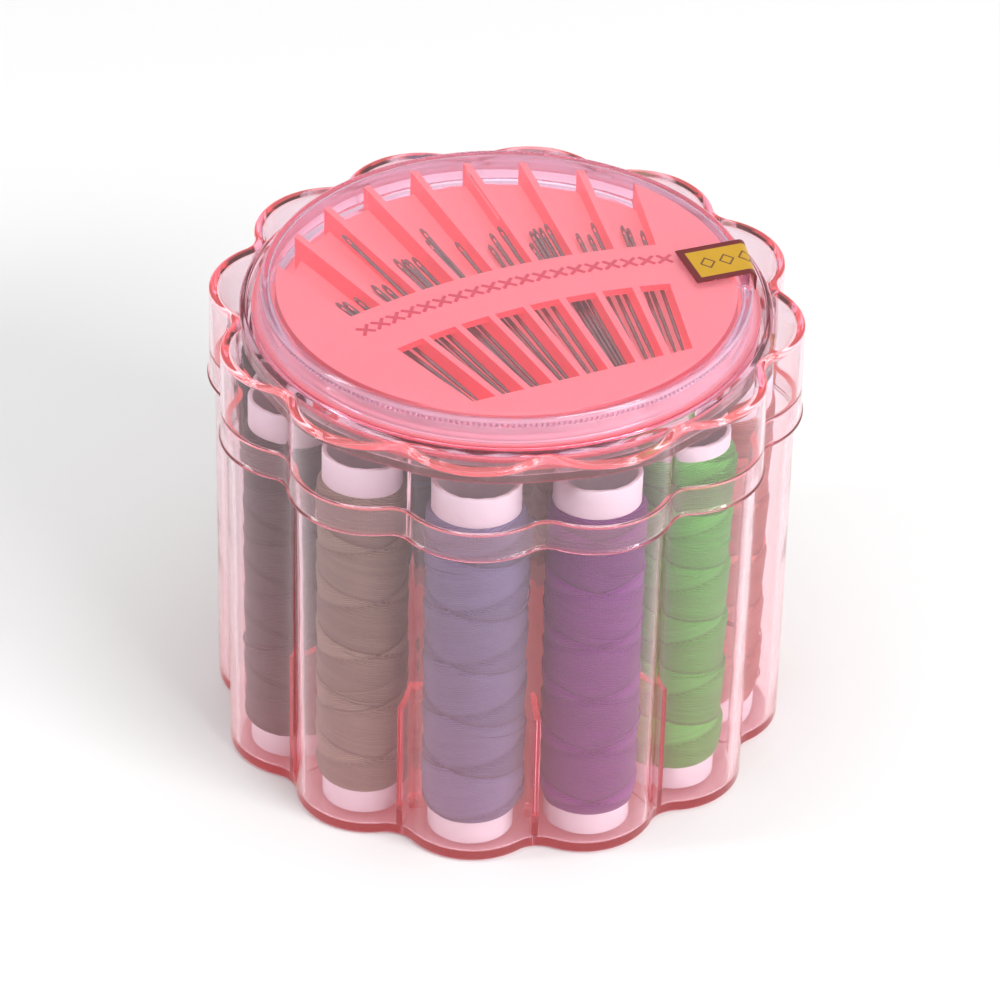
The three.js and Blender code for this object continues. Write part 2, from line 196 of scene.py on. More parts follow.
# How far the strand map's v runs in a turn of the winding
STRAND_MAP_TURN = 40

# Dent in a tube's rim: its bearing (degrees), its half width (radians), and how far in (part of the radius)
CRUMPLED = {"purple": 215}
DENT_HALF_WIDTH = 0.55
DENT_IN = 0.24

# Label (mm), stuck on the cover and folded down its edge
LABEL_WIDTH = 10.2
LABEL_LENGTH = 14.0
LABEL_THICKNESS = 0.16
LABEL_START = (29.2, 7.5)
LABEL_TURN = 27.2
LABEL_FOLD_TURN = 16.5
LABEL_FOLD_RADIUS = 1.2
LABEL_BORDER = 1.25
LABEL_LIFT = 0.12
LABEL_STEPS = 56
LABEL_COLUMNS = 8
LOZENGE_START = 2.2
LOZENGE_PITCH = 3.4
LOZENGE_HALF_HEIGHT = 2.1

# Line of each lozenge, in parts of the lozenge's cell: how far out it runs, and half its width
LOZENGE_REACH = 0.72
LOZENGE_LINE = 0.12

# Row of raised cross stitches along the bridge (mm, and degrees about the fan's centre)
STITCHES = 19
STITCH_SPAN = 30.0
STITCH_REACH = 105.4
STITCH_SIZE = 3.4
STITCH_STROKE = 0.65
STITCH_HEIGHT = 0.12

# Needles (mm): the point's taper is (radius, distance from the point), the eye's end is (part of the shank's
# radius, distance from the end)
NEEDLE_RADIUS = 0.36
NEEDLE_POINT = [(0, 0), (0.02, 0.01), (0.17, 2.0), (0.27, 5.0), (NEEDLE_RADIUS, 9.5)]
NEEDLE_EYE = [(1, 5.5), (1.15, 3.8), (1.2, 1.6), (0.9, 0.4), (0.45, 0), (0, 0)]
EYE_HALF_WIDTH = 0.13
EYE_SPAN = (3.4, 1.2)

SPOOLS = {
    "lavender": (0.20, 0.20, 0.37),
    "purple": (0.24, 0.04, 0.31),
    "green": (0.13, 0.60, 0.11),
    "coral": (0.78, 0.24, 0.22),
    "orange": (0.88, 0.40, 0.06),
    "yellow": (0.88, 0.66, 0.10),
    "white": (0.82, 0.84, 0.86),
    "blue": (0.06, 0.17, 0.44),
    "red": (0.50, 0.03, 0.04),
    "black": (0.02, 0.02, 0.024),
    "plum": (0.065, 0.05, 0.06),
    "taupe": (0.33, 0.28, 0.21),
}


# Meshes

def mesh_object(name, points, faces, sharp=40):
    """A smooth-shaded object; edges sharper than an angle in degrees stay sharp. Points are in mm."""
    mesh = bpy.data.meshes.new(name)
    mesh.from_pydata((np.asarray(points) * MM).tolist(), [], faces)
    mesh.update()
    obj = bpy.data.objects.new(name, mesh)
    bpy.context.scene.collection.objects.link(obj)
    finish_shading(obj, sharp)
    return obj


def finish_shading(obj, sharp=40):
    obj.data.shade_smooth()
    obj.data.set_sharp_from_angle(angle=math.radians(sharp))


def join_meshes(parts):
    """Points and faces of several (points, faces) pairs as one pair."""
    points = []
    faces = []
    for part_points, part_faces in parts:
        start = len(points)
        points += [tuple(p) for p in part_points]
        faces += [[start + i for i in face] for face in part_faces]
    return points, faces


def loft(rings, closed=False):
    """Points and faces through rings of equal length. Open lofts end at a point at each end ring's centre."""
    count = len(rings[0])
    points = np.concatenate(rings)
    spans = len(rings) if closed else len(rings) - 1
    faces = []
    for k in range(spans):
        near = k * count
        far = ((k + 1) % len(rings)) * count
        for i in range(count):
            j = (i + 1) % count
            faces.append([near + i, near + j, far + j, far + i])
    if closed:
        return points, faces
    first = len(points)
    last = first + 1
    tail = (len(rings) - 1) * count
    points = np.concatenate([points, [rings[0].mean(0)], [rings[-1].mean(0)]])
    for i in range(count):
        j = (i + 1) % count
        faces.append([first, j, i])
        faces.append([last, tail + i, tail + j])
    return points, faces


def rounded(corners):
    """A profile with arcs at its corners, which are (across, height, radius)."""
    points = []
    for i, (x, z, radius) in enumerate(corners):
        here = np.array([x, z], float)
        if radius == 0:
            points.append(here)
            continue
        before = np.array(corners[i - 1][:2], float) - here
        after = np.array(corners[(i + 1) % len(corners)][:2], float) - here
        before /= np.linalg.norm(before)
        after /= np.linalg.norm(after)
        half = math.acos(np.clip(before @ after, -1, 1)) / 2
        middle = (before + after) / np.linalg.norm(before + after)
        centre = here + middle * radius / math.sin(half)
        start = here + before * radius / math.tan(half) - centre
        end = here + after * radius / math.tan(half) - centre
        sweep = math.pi - 2 * half
        for step in range(CORNER_STEPS + 1):
            t = step / CORNER_STEPS
            spoke = (math.sin((1 - t) * sweep) * start + math.sin(t * sweep) * end) / math.sin(sweep)
            points.append(centre + spoke)
    return points


def scallop_outline(outside):
    """Points of the scalloped outline, counter-clockwise, moved outwards by a distance."""
    pitch = 2 * math.pi / LOBES
    lobe_centre = BOX_RADIUS - LOBE_RADIUS
    side = lobe_centre * math.sin(pitch / 2)
    reach = math.sqrt((LOBE_RADIUS + FILLET_RADIUS) ** 2 - side ** 2)
    fillet_centre = lobe_centre * math.cos(pitch / 2) + reach
    fillet_half = math.atan2(side, reach)
    lobe_half = fillet_half + pitch / 2
    points = []

    def arc(centre, at, radius, start, end, steps):
        for i in range(steps):
            angle = start + (end - start) * i / steps
            points.append((centre * math.cos(at) + radius * math.cos(angle),
                           centre * math.sin(at) + radius * math.sin(angle)))

    for k in range(LOBES):
        lobe = k * pitch
        fillet = lobe + pitch / 2
        inward = fillet + math.pi
        hollow = FILLET_RADIUS - outside
        arc(lobe_centre, lobe, LOBE_RADIUS + outside, lobe - lobe_half, lobe + lobe_half, LOBE_STEPS)
        arc(fillet_centre, fillet, hollow, inward + fillet_half, inward - fillet_half, FILLET_STEPS)
    return np.array(points)


BEARINGS = np.arctan2(*scallop_outline(0).T[::-1])


def scallop(outside, z):
    return np.column_stack([scallop_outline(outside), np.full(len(BEARINGS), z)])


def circle(radius, z, bearings=BEARINGS):
    return np.column_stack([radius * np.cos(bearings), radius * np.sin(bearings), np.full(len(bearings), z)])


def around(sides):
    return np.arange(sides) * 2 * math.pi / sides


def turned(profile, sides):
    """Points and faces of a solid of revolution; the profile ends on the axis, or closes on itself."""
    closed = profile[0][0] > 0
    rings = [circle(radius, z, around(sides)) for radius, z in profile]
    if closed:
        return loft(rings, closed=True)
    return loft(rings[1:-1])


def prism(outline, bottom, top):
    """Points and faces of an upright prism on a counter-clockwise outline."""
    count = len(outline)
    points = [(x, y, bottom) for x, y in outline] + [(x, y, top) for x, y in outline]
    faces = [list(range(count))[::-1], list(range(count, 2 * count))]
    for i in range(count):
        j = (i + 1) % count
        faces.append([i, j, count + j, count + i])
    return points, faces


def moved(part, turn=0.0, shift=(0, 0, 0)):
    """The part turned about the Z axis by degrees, then shifted."""
    points, faces = part
    matrix = np.array(Matrix.Rotation(math.radians(turn), 3, "Z"))
    return np.asarray(points) @ matrix.T + np.asarray(shift), faces


def parts_of(obj):
    """Points (mm) and faces of an object's mesh, which is removed."""
    part = ([v.co / MM for v in obj.data.vertices], [list(p.vertices) for p in obj.data.polygons])
    bpy.data.objects.remove(obj)
    return part


def boolean(obj, parts, operation):
    """Joins or cuts the object with some (points, faces) parts."""
    tool = mesh_object("tool", *join_meshes(parts))
    modifier = obj.modifiers.new("cut", "BOOLEAN")
    modifier.operation = operation
    modifier.solver = "EXACT"
    modifier.object = tool
    apply_modifiers(obj)
    bpy.data.objects.remove(tool)


def bevel(obj, width, angle=40):
    modifier = obj.modifiers.new("bevel", "BEVEL")
    modifier.width = width * MM
    modifier.segments = 2
    modifier.limit_method = "ANGLE"
    modifier.angle_limit = math.radians(angle)
    modifier.harden_normals = False
    apply_modifiers(obj)


def apply_modifiers(obj):
    depsgraph = bpy.context.evaluated_depsgraph_get()
    mesh = bpy.data.meshes.new_from_object(obj.evaluated_get(depsgraph))
    obj.modifiers.clear()
    old = obj.data
    obj.data = mesh
    bpy.data.meshes.remove(old)
    mesh.name = obj.name


def place(obj, body, slot, material, *nodes):
    """Puts a finished piece on its body, in the place of some CAD nodes."""
    obj.data.materials.clear()
    obj.data.materials.append(material)
    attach(obj, body)
    if nodes:
        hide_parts(*nodes)


# Materials

def principled(name, color, roughness, **inputs):
    """A new material, its node tree and its shader."""
    material = bpy.data.materials.new(name)
    material.use_nodes = True
    tree = material.node_tree
    shader = tree.nodes["Principled BSDF"]
    shader.inputs["Base Color"].default_value = (*color, 1)
    shader.inputs["Roughness"].default_value = roughness
    for socket, value in inputs.items():
        shader.inputs[socket.replace("_", " ")].default_value = value
    return material, tree, shader


def node(tree, kind, **settings):
    made = tree.nodes.new(kind)
    for key, value in settings.items():
        if key in made.inputs:
            made.inputs[key].default_value = value
        else:
            setattr(made, key, value)
    return made


def calc(tree, operation, a, b=0.0):
    """A math node's output; each input is another output or a number."""
    made = tree.nodes.new("ShaderNodeMath")
    made.operation = operation
    for socket, value in zip(made.inputs, (a, b)):
        if isinstance(value, (int, float)):
            socket.default_value = value
        else:
            tree.links.new(value, socket)
    return made.outputs[0]


def separated(tree, vector):
    split = tree.nodes.new("ShaderNodeSeparateXYZ")
    tree.links.new(vector, split.inputs[0])
    return split.outputs


def blend_colors(tree, factor, low, high):
    """A colour between two; each is a colour or another output."""
    mix = tree.nodes.new("ShaderNodeMix")
    mix.data_type = "RGBA"
    tree.links.new(factor, mix.inputs["Factor"])
    for socket, value in zip([i for i in mix.inputs if i.type == "RGBA"], (low, high)):
        if isinstance(value, tuple):
            socket.default_value = (*value, 1)
        else:
            tree.links.new(value, socket)
    return next(o for o in mix.outputs if o.type == "RGBA")


def noise(tree, scale, detail=3.0, roughness=0.5, stretch=None):
    """Noise over the piece's own metres; stretch gives a scale for each axis."""
    place_at = node(tree, "ShaderNodeTexCoord").outputs["Object"]
    if stretch:
        mapping = node(tree, "ShaderNodeMapping", Scale=stretch)
        tree.links.new(place_at, mapping.inputs["Vector"])
        place_at = mapping.outputs["Vector"]
    texture = node(tree, "ShaderNodeTexNoise", Scale=scale, Detail=detail, Roughness=roughness)
    tree.links.new(place_at, texture.inputs["Vector"])
    return texture.outputs["Fac"]


def bump(tree, shader, height, distance, strength=1.0):
    relief = node(tree, "ShaderNodeBump", Strength=strength, Distance=distance)
    tree.links.new(height, relief.inputs["Height"])
    tree.links.new(relief.outputs["Normal"], shader.inputs["Normal"])


def mark_edges(piece, glowing, reflection_mask):
    """A UV map, edges: u says how much painted glow each corner of the mesh has, v how much painted reflection
    band.
    """
    corners = np.array([loop.vertex_index for loop in piece.data.loops])
    values = np.column_stack([glowing, reflection_mask]).astype(np.float32)[corners]
    piece.data.uv_layers.new(name="edges").data.foreach_set("uv", values.ravel())


def places_of(piece):
    """Radius, distance inside the scalloped outline, and height of each corner of a mesh, in mm."""
    x, y, z = np.array([v.co for v in piece.data.vertices]).T / MM
    radius = np.hypot(x, y)
    outline = np.interp(np.arctan2(y, x), BEARINGS, np.hypot(*scallop_outline(0).T), period=2 * math.pi)
    return radius, outline - radius, z


def clear_plastic(name, body, absorbed, clear, glow, reflection_color=None):
    """Tinted clear plastic. Its body colour shows a little on every face. Absorbed is the loss per metre, glow
    the colour of the painted glow (emission) and of the sheen that stand in for light collecting at the edges,
    and the last colour, if any, that of the painted reflection band, which stands in for reflections where the
    map marks it.
    """
    material, tree, shader = principled(name, body, 0.04, IOR=1.44, Sheen_Weight=0.1, Sheen_Roughness=0.3)
    edge, reflection_mask = separated(tree, node(tree, "ShaderNodeUVMap", uv_map="edges").outputs["UV"])[:2]
    shader.inputs["Transmission Weight"].default_value = clear
    if reflection_color:
        # Where the map marks it: less clear and a lighter lilac, a painted reflection band.
        less_clear = calc(tree, "SUBTRACT", clear, calc(tree, "MULTIPLY", reflection_mask, PAINTED_REFLECTION))
        tree.links.new(less_clear, shader.inputs["Transmission Weight"])
        tree.links.new(blend_colors(tree, reflection_mask, body, reflection_color), shader.inputs["Base Color"])
    # Painted light: the sheen and the painted glow take the glow colour, standing in for light collecting at
    # edges.
    shader.inputs["Sheen Tint"].default_value = (*glow, 1)
    shader.inputs["Emission Color"].default_value = (*glow, 1)
    # Painted glow: a small part on every face, and more where the map marks edges.
    strength = calc(tree, "ADD", calc(tree, "MULTIPLY", edge, EDGE_GLOW), GLOW)
    tree.links.new(strength, shader.inputs["Emission Strength"])
    waves = noise(tree, 70, detail=1.0)
    scuffs = noise(tree, 900, detail=2.0, stretch=(1, 1, 0.3))
    height = calc(tree, "ADD", waves, calc(tree, "MULTIPLY", scuffs, 0.02))
    bump(tree, shader, height, distance=0.0004, strength=0.3)
    density = max(absorbed)
    color = tuple(1 - loss / density for loss in absorbed)
    volume = node(tree, "ShaderNodeVolumeAbsorption", Density=density)
    volume.inputs["Color"].default_value = (*color, 1)
    tree.links.new(volume.outputs["Volume"], tree.nodes["Material Output"].inputs["Volume"])
    return material


# Cup

def divider():
    """A low fin between two lobes, round at its inner edge, with a pip at its foot. It points along +X."""
    half = DIVIDER_THICKNESS / 2
    foot = CUP_FLOOR - DIVIDER_SINK
    nose = [(DIVIDER_INNER_RADIUS + half * math.cos(a), half * math.sin(a))
            for a in np.linspace(math.pi / 2, 3 * math.pi / 2, 9)]
    blade = prism([(DIVIDER_OUTER_RADIUS, half), *nose, (DIVIDER_OUTER_RADIUS, -half)], foot, DIVIDER_TOP)
    profile = rounded([(0, foot, 0), (PIP_RADIUS, foot, 0), (PIP_RADIUS, PIP_TOP, 0.5), (0, PIP_TOP, 0)])
    pip = moved(turned(profile, 28), shift=(DIVIDER_INNER_RADIUS, 0, 0))
    return blade, pip


def cup():
    height = BOXES["cup"][1].z / MM
    foot = CUP_FOOT_OUTLINE
    rim = CUP_RIM_OUTLINE
    below_rim = height - RIM_BAND
    draft = (rim - foot) / height
    profile = rounded([
        (foot - 2.0, 0.0, 0.0),
        (foot, 0.0, CUP_CORNER),
        (rim - RIM_BAND * draft, below_rim, 0),
        (rim, height, 0.3),
        (rim - CUP_WALL, height, 0.3),
        (rim - CUP_WALL - RIM_BAND * draft, below_rim, 0),
        (foot - CUP_WALL, CUP_FLOOR, CUP_CORNER),
        (foot - CUP_WALL - 2.0, CUP_FLOOR, 0.0),
    ])
    piece = mesh_object("cup_shell", *loft([scallop(x, z) for x, z in profile]))
    blades = []
    pips = []
    for k in range(LOBES):
        turn = (k + 0.5) * 360 / LOBES
        blade, pip = divider()
        blades.append(moved(blade, turn))
        pips.append(moved(pip, turn))
    boolean(piece, blades, "UNION")
    boolean(piece, pips, "UNION")
    radius, _, z = places_of(piece)
    at_foot = z < CUP_CORNER
    on_fins = (radius < DIVIDER_INNER_RADIUS + 1) & (z > CUP_FLOOR)
    on_rim = z > below_rim + 0.05
    # Painted glow (emission, through the edges map) at the foot, on the fins and along the rim.
    mark_edges(piece, FOOT_GLOW * at_foot + FIN_GLOW * on_fins + on_rim, 0 * z)
    finish_shading(piece)
    return piece


# Lid

def lid():
    top = BOXES["lid"][1].z / MM
    skirt_bottom = BOXES["lid"][0].z / MM
    ledge = BOXES["cup"][1].z / MM + LEDGE_GAP
    underside = top - LID_PLATE
    well_bottom = WELL_FLOOR - WELL_FLOOR_THICKNESS
    inside = SKIRT_OUTLINE - SKIRT_WALL
    below = rounded([
        (0, well_bottom, 0),
        (WELL_RADIUS + WELL_WALL, well_bottom, 0.5),
        (WELL_RADIUS + WELL_WALL, underside, 0.3),
        (BOX_RADIUS, underside, 0),
    ])
    skirt = rounded([
        (-LID_WALL - RIM_FLAT, underside, 0),
        (-LID_WALL, underside, 0.5),
        (-LID_WALL, ledge, 0.2),
        (inside, ledge, 0.15),
        (inside, skirt_bottom, 0.3),
        (SKIRT_OUTLINE, skirt_bottom, 0.3),
        (SKIRT_OUTLINE, skirt_bottom + LIP_HEIGHT, 0.25),
        (SKIRT_OUTLINE - LIP_DEPTH, skirt_bottom + LIP_HEIGHT + LIP_DEPTH, 0.2),
        (0.01, top - 0.9, 0),
        (0.0, top, 0.7),
        (-LID_WALL, top, 0),
        (-LID_WALL - 0.15, top, 0),
        (-RIM_FLAT, top, 0),
    ])
    well = rounded([
        (BOX_RADIUS, top, 0),
        (WELL_RADIUS, top, 0.5),
        (WELL_RADIUS - WELL_TAPER, WELL_FLOOR, 0.4),
        (0, WELL_FLOOR, 0),
    ])
    rings = [circle(radius, z) for radius, z in below[1:-1]]
    rings += [scallop(x, z) for x, z in skirt[1:-1]]
    rings += [circle(radius, z) for radius, z in well[1:-1]]
    piece = mesh_object("lid_shell", *loft(rings))
    _, inset, z = places_of(piece)
    on_rim = (z > top - 0.75) & (inset < LID_WALL + 0.05)
    at_skirt_foot = z < skirt_bottom + 0.2
    # Painted glow along the top edge of the rim, and a little at the skirt's foot.
    mark_edges(piece, on_rim + FOOT_GLOW * at_skirt_foot, 0 * z)
    return piece


# Compact

def fan_point(distance, bearing, sideways=0.0):
    """A place at a distance and bearing (degrees clockwise from +Y) from the fan's centre, moved sideways."""
    angle = math.radians(bearing)
    return (distance * math.sin(angle) + sideways * math.cos(angle),
            distance * math.cos(angle) - sideways * math.sin(angle) - FAN_CENTRE)


def channel_bearing(k):
    return (k - CHANNELS / 2) * CHANNEL_ANGLE


def fan_band(near, far, steps=40):
    """Outline between two arcs about the fan's centre, wider than the fan."""
    bearings = np.linspace(-0.5, 0.5, steps + 1) * (CHANNELS + 2) * CHANNEL_ANGLE
    return [fan_point(far, b) for b in bearings[::-1]] + [fan_point(near, b) for b in bearings]


def channel_outline(k, near, far):
    half = RIB_THICKNESS / 2
    left = channel_bearing(k)
    right = channel_bearing(k + 1)
    return [fan_point(near, left, half), fan_point(near, right, -half),
            fan_point(far, right, -half), fan_point(far, left, half)]


def disc_shape():
    low, high = (corner.z / MM for corner in BOXES["needle_disc"])
    return turned(rounded([
        (0, low, 0),
        (DISC_FLANGE_RADIUS, low, 0.4),
        (DISC_FLANGE_RADIUS, DISC_FLANGE_TOP, 0.2),
        (DISC_RADIUS - 0.1, DISC_FLANGE_TOP, 0.1),
        (DISC_RADIUS - 0.1, DISC_BEAD[0], 0.1),
        (DISC_BEAD_RADIUS, DISC_BEAD[0] + 0.3, 0.1),
        (DISC_BEAD_RADIUS, DISC_BEAD[1] - 0.3, 0.1),
        (DISC_RADIUS, DISC_BEAD[1], 0.1),
        (DISC_RADIUS, high, 0.3),
        (0, high, 0),
    ]), DISC_SIDES)


def far_half_past(radius, high):
    """Everything on the fan's far side, outside a radius."""
    sweep = np.linspace(0, math.pi, 145)
    outer = [(BOX_RADIUS * math.cos(a), BOX_RADIUS * math.sin(a)) for a in sweep]
    inner = [(radius * math.cos(a), radius * math.sin(a)) for a in sweep[::-1]]
    return prism(outer + inner, DISC_FLANGE_TOP - 1, high + 1)


def cut(parts, limit, operation="INTERSECT"):
    """The (points, faces) of some parts held within, or cut by, another part."""
    tool = mesh_object("cutter", *join_meshes(parts))
    boolean(tool, [limit], operation)
    return parts_of(tool)


def channel_tools(bottom, top):
    """A long block over each channel."""
    outlines = [channel_outline(k, TOOL_NEAR, TOOL_FAR) for k in range(CHANNELS)]
    return [prism(outline, bottom, top) for outline in outlines]


def half_plane(edge, top):
    """Everything beyond an edge across the disc, on the fan's far side."""
    side = TOOL_HALF
    return prism([(-side, edge), (side, edge), (side, side), (-side, side)], TOOL_BOTTOM, top)


def channel_reach(above):
    """Where channels may run: inside a circle on the fan's near side, and anywhere on its far side."""
    radius = CHANNEL_END_RADIUS
    round_end = turned([(0, TOOL_BOTTOM), (radius, TOOL_BOTTOM), (radius, above), (0, above)], DISC_SIDES)
    reach = mesh_object("reach", *round_end)
    boolean(reach, [half_plane(0, above)], "UNION")
    return parts_of(reach)


def channel_windows(above):
    """The lower and upper windows: every channel past the window's edge, but for the bridge."""
    windows = cut(channel_tools(CHANNEL_FLOOR, above), half_plane(WINDOW_EDGE, above))
    bridge = prism(fan_band(BRIDGE_NEAR, BRIDGE_FAR), TOOL_BOTTOM, above + 1)
    return cut([windows], bridge, "DIFFERENCE")


def rib_ends(bottom, above):
    """What lies between the fan's two outer ribs, past the ends of the ribs."""
    half = RIB_THICKNESS / 2
    left = channel_bearing(0)
    right = channel_bearing(CHANNELS)
    fan = prism([fan_point(TOOL_NEAR, left, half), fan_point(TOOL_NEAR, right, -half),
                 fan_point(TOOL_FAR, right, -half), fan_point(TOOL_FAR, left, half)], bottom, above)
    return cut([fan], far_half_past(RIB_END_RADIUS, above))


def disc():
    high = BOXES["needle_disc"][1].z / MM
    above = high + 1
    under_floor = DISC_FLANGE_TOP + 0.1
    piece = mesh_object("disc_base", *disc_shape())
    tunnels = cut(channel_tools(CHANNEL_FLOOR, high - BRIDGE_THICKNESS), channel_reach(above))
    open_ends = cut(channel_tools(under_floor, above), far_half_past(FLOOR_END_RADIUS, above))
    for tool in (tunnels, channel_windows(above), open_ends, rib_ends(under_floor, above)):
        boolean(piece, [tool], "DIFFERENCE")
    bevel(piece, 0.12)
    turn_with_compact(piece)
    finish_shading(piece)
    return piece


def turn_with_compact(piece):
    piece.data.transform(Matrix.Rotation(math.radians(COMPACT_TURN), 4, "Z"))


def cover():
    low, high = (corner.z / MM for corner in BOXES["compact_cover"])
    wave = np.tile([0.0, 1.0, 1.0, 0.0], KNURL_TEETH)
    angles = around(len(wave))
    axis = 0.001
    profile = rounded([
        (COVER_LIP_RADIUS, low, 0.2),
        (COVER_FLANGE_RADIUS, low, 0.3),
        (COVER_FLANGE_RADIUS, COVER_FLANGE_TOP, 0.4),
        (COVER_RADIUS, COVER_FLANGE_TOP + 0.3, 0.3),
        (COVER_RADIUS, KNURL[0] - 0.05, 0),
        (COVER_RADIUS, KNURL[0], 0),
        (COVER_RADIUS, KNURL[1], 0),
        (COVER_RADIUS, high, 1.2),
        (axis, high, 0),
        (axis, COVER_CEILING, 0),
        (COVER_INNER_RADIUS, COVER_CEILING, 0.6),
        (COVER_INNER_RADIUS, DISC_BEAD[0], 0.2),
        (COVER_LIP_RADIUS, low + 0.9, 0.2),
    ])
    start = next(i for i, (radius, z) in enumerate(profile) if radius == axis and z < high)
    rings = []
    for radius, z in profile[start:] + profile[:start]:
        ring = circle(radius, z, angles)
        if KNURL[0] <= z <= KNURL[1] and radius > COVER_INNER_RADIUS + 0.5:
            ring[:, :2] *= (1 - KNURL_DEPTH * wave / radius)[:, None]
        rings.append(ring)
    piece = mesh_object("cover_bowl", *loft(rings[1:-1]))
    half = NOTCH_WIDTH / 2
    notch = prism([(NOTCH_RADIUS, -half), (BOX_RADIUS, -half), (BOX_RADIUS, half), (NOTCH_RADIUS, half)],
                  NOTCH_BOTTOM, high + 5)
    boolean(piece, [moved(notch, NOTCH_TURN)], "DIFFERENCE")
    radius, _, z = places_of(piece)
    on_side = (radius > COVER_INNER_RADIUS - 0.3) & (z > COVER_FLANGE_TOP + 0.1) & (z < high - 0.4)
    on_flange = radius > COVER_FLANGE_RADIUS - 0.2
    # Painted glow on the flange; the side carries the painted reflection band.
    mark_edges(piece, FLANGE_GLOW * on_flange, on_side)
    finish_shading(piece, 50)
    return piece


def cross_outline(size, stroke):
    """Outline of an upright cross, turned by 45 degrees."""
    a = stroke / 2
    b = size / 2
    half = math.sqrt(0.5)
    arm = [(a, a), (a, b), (-a, b)]
    corners = []
    for _ in range(4):
        corners += [((x - y) * half, (x + y) * half) for x, y in arm]
        arm = [(-y, x) for x, y in arm]
    return corners


def stitches():
    """Raised cross stitches in a row along the bridge."""
    top = BOXES["needle_disc"][1].z / MM
    parts = []
    for k in range(STITCHES):
        bearing = (k / (STITCHES - 1) - 0.5) * STITCH_SPAN
        part = prism(cross_outline(STITCH_SIZE, STITCH_STROKE), top - 0.1, top + STITCH_HEIGHT)
        parts.append(moved(part, -bearing, (*fan_point(STITCH_REACH, bearing), 0)))
    piece = mesh_object("stitch_row", *join_meshes(parts))
    bevel(piece, 0.06)
    turn_with_compact(piece)
    finish_shading(piece)
    return piece


def salmon_material():
    """Satin moulded plastic, a little translucent, with painted light and shade on level faces and ribs'
    sides.
    """
    material, tree, shader = principled("salmon_plastic", (1.0, 0.24, 0.26), 0.36, Subsurface_Weight=0.35)
    spot = node(tree, "ShaderNodeTexCoord").outputs
    upward = separated(tree, spot["Normal"])[2]
    level = calc(tree, "GREATER_THAN", upward, LEVEL_SLOPE)
    upright = calc(tree, "LESS_THAN", calc(tree, "ABSOLUTE", upward), LEVEL_SLOPE)
    x, y = separated(tree, spot["Object"])[:2]
    square = calc(tree, "ADD", calc(tree, "MULTIPLY", x, x), calc(tree, "MULTIPLY", y, y))
    radius = calc(tree, "SQRT", square)
    walls = calc(tree, "MULTIPLY", upright, calc(tree, "LESS_THAN", radius, RIB_END_RADIUS * MM))
    # Painted glow: on level faces, and on the ribs' sides, standing in for light that the plastic scatters.
    strength = calc(tree, "ADD", calc(tree, "MULTIPLY", level, LEVEL_GLOW),
                    calc(tree, "MULTIPLY", walls, WALL_GLOW))
    tree.links.new(strength, shader.inputs["Emission Strength"])
    glow = blend_colors(tree, level, (1.0, 0.06, 0.08), (1.0, 0.26, 0.28))
    tree.links.new(glow, shader.inputs["Emission Color"])
    shader.inputs["Subsurface Radius"].default_value = (1.0, 0.25, 0.2)
    shader.inputs["Subsurface Scale"].default_value = 0.0015
    tint = blend_colors(tree, noise(tree, 45), (0.97, 0.22, 0.24), (1.0, 0.26, 0.28))
    # Painted light and shade: level faces keep the lighter tone, every other face is a deeper red, as if in
    # shade.
    tint = blend_colors(tree, level, (1.0, 0.11, 0.14), tint)
    tree.links.new(tint, shader.inputs["Base Color"])
    bump(tree, shader, noise(tree, 1800, detail=2.0), distance=0.00003, strength=0.6)
    return material


def stitch_material():
    # The ink has a painted glow (emission) that brightens it.
    return principled("stitch_ink", (0.72, 0.02, 0.06), 0.4, Emission_Color=(1.0, 0.08, 0.15, 1),
                      Emission_Strength=0.2)[0]


# Label

def label_point(u, v, lift):
    """A place on the label (mm): along it, across it, and above its underside."""
    fold = Matrix.Rotation(math.radians(LABEL_FOLD_TURN), 2) @ Vector((1, 0))
    across = Vector((-fold.y, fold.x))
    along = Matrix.Rotation(math.radians(LABEL_TURN), 2) @ Vector((1, 0))
    sideways = Vector((-along.y, along.x))
    fold_start = COVER_RADIUS + 0.5 - LABEL_FOLD_RADIUS
    lie = BOXES["compact_cover"][1].z / MM + LABEL_LIFT
    quarter = LABEL_FOLD_RADIUS * math.pi / 2
    flat = Vector(LABEL_START) + u * along + v * sideways
    past = flat.dot(fold) - fold_start
    turn = min(max(past / quarter, 0), 1) * math.pi / 2
    radius = LABEL_FOLD_RADIUS + lift
    out = fold_start + min(past, 0) + radius * math.sin(turn)
    point = out * fold + flat.dot(across) * across
    return (point.x, point.y, lie - LABEL_FOLD_RADIUS + radius * math.cos(turn) - max(0, past - quarter))


def label():
    strip = [(LABEL_WIDTH * (k / LABEL_COLUMNS - 0.5), 0) for k in range(LABEL_COLUMNS + 1)]
    loop = strip + [(v, LABEL_THICKNESS) for v, _ in strip[::-1]]
    rings = []
    for i in range(LABEL_STEPS + 1):
        u = LABEL_LENGTH * i / LABEL_STEPS
        rings.append(np.array([label_point(u, v, lift) for v, lift in loop]))
    piece = mesh_object("label_paper", *loft(rings))
    uv = piece.data.uv_layers.new(name="print")
    for polygon in piece.data.polygons:
        for index in polygon.loop_indices:
            vertex = piece.data.loops[index].vertex_index
            i, k = divmod(vertex, len(loop))
            if i <= LABEL_STEPS:
                uv.data[index].uv = (LABEL_LENGTH * i / LABEL_STEPS, loop[k][0])
    return piece


